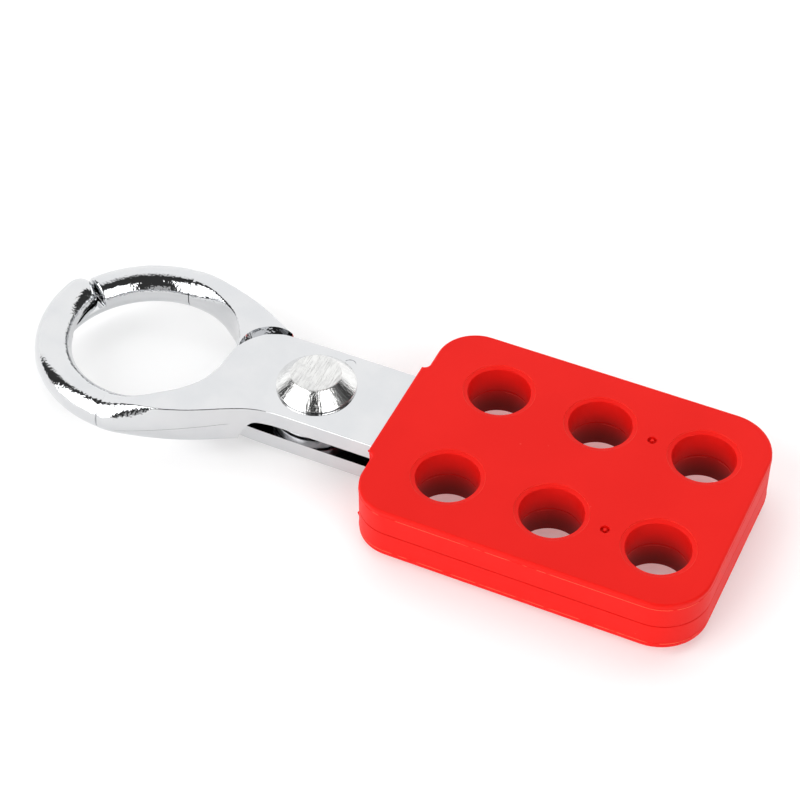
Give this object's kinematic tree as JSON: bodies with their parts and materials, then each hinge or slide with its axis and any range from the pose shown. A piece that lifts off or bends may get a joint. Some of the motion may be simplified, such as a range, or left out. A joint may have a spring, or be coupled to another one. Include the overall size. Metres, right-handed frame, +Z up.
{
  "type": "lockout hasp",
  "caption": "Scissor-action lockout hasp: two riveted steel jaws close into a ring and their plastic-sleeved handles take padlocks through matching holes.",
  "frame": {"origin": "centre of the flat outer face of the lower rivet head, on the pivot axis", "axes": "+X from the ring towards the handle, +Z up along the pivot axis, +Y towards the lower jaw's ring arm"},
  "size_m": [0.1205, 0.0414, 0.0136],
  "materials": {
    "jaw_chrome": "bright chrome plate over smooth forged steel",
    "rivet_steel": "satin turned head with fine scratches",
    "spacer_steel": "plain turned steel",
    "sleeve_plastic": "semi-matt moulded red plastic"
  },
  "bodies": {
    "lower_half": {"lower_jaw": "jaw_chrome", "lower_sleeve": "sleeve_plastic", "pivot_rivet": "rivet_steel", "pivot_spacer": "spacer_steel"},
    "upper_half": {"upper_jaw": "jaw_chrome", "upper_sleeve": "sleeve_plastic"}
  },
  "joints": [
    {"name": "jaw_pivot", "type": "hinge", "parent": "lower_half", "child": "upper_half", "pos_m": [0, 0, 0.0068], "axis": [0, 0, 1], "range_deg": [0, 92]}
  ]
}
